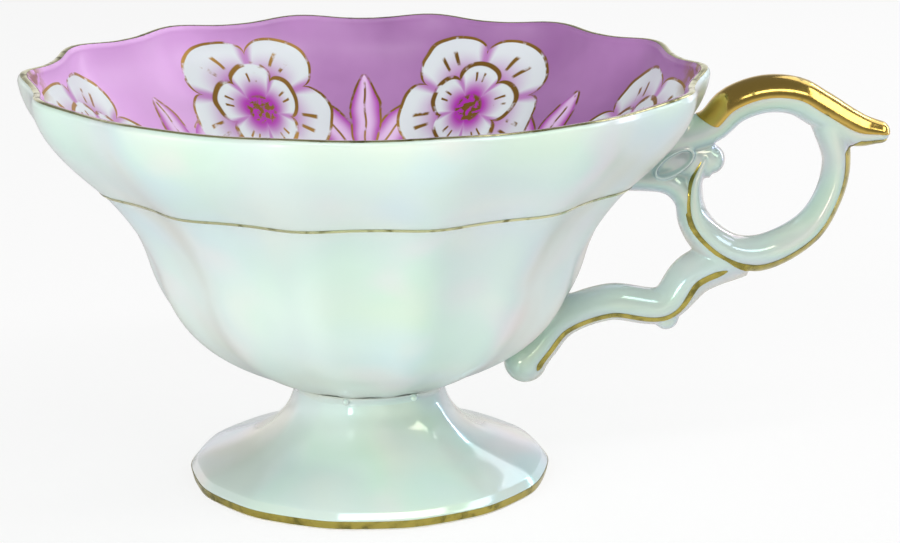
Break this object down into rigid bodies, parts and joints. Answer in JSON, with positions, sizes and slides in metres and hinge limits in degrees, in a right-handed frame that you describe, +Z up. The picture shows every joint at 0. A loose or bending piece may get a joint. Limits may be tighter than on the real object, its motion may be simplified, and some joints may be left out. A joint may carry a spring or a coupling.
{
  "type": "footed cup",
  "caption": "Footed porcelain teacup: panelled flaring bowl on a hollow trumpet foot, ring handle with a thumb rest and a strut, enamel lining and gold lines.",
  "frame": {"origin": "middle of the part's box on the table plane; the cup's own axis is 13.06 mm from it towards -X", "axes": "+Z up along the cup's axis, +X from the bowl towards the handle, the plane y = 0 halves the handle"},
  "size_m": [0.1262, 0.0974, 0.0608],
  "materials": {
    "porcelain": "gloss",
    "slip": "gloss",
    "enamel": "gloss",
    "gold": "polished"
  },
  "bodies": {
    "root": {"bowl": "porcelain", "interior_enamel": "enamel", "rim_gilding": "gold", "waist_gilding": "gold", "pedestal_foot": "porcelain", "foot_gilding": "gold", "foot_slip": "slip", "handle": "porcelain", "upper_handle_slip": "slip", "lower_handle_slip": "slip", "crest_gilding": "gold", "ring_gilding": "gold", "front_strut_gilding": "gold", "back_strut_gilding": "gold"}
  },
  "joints": []
}
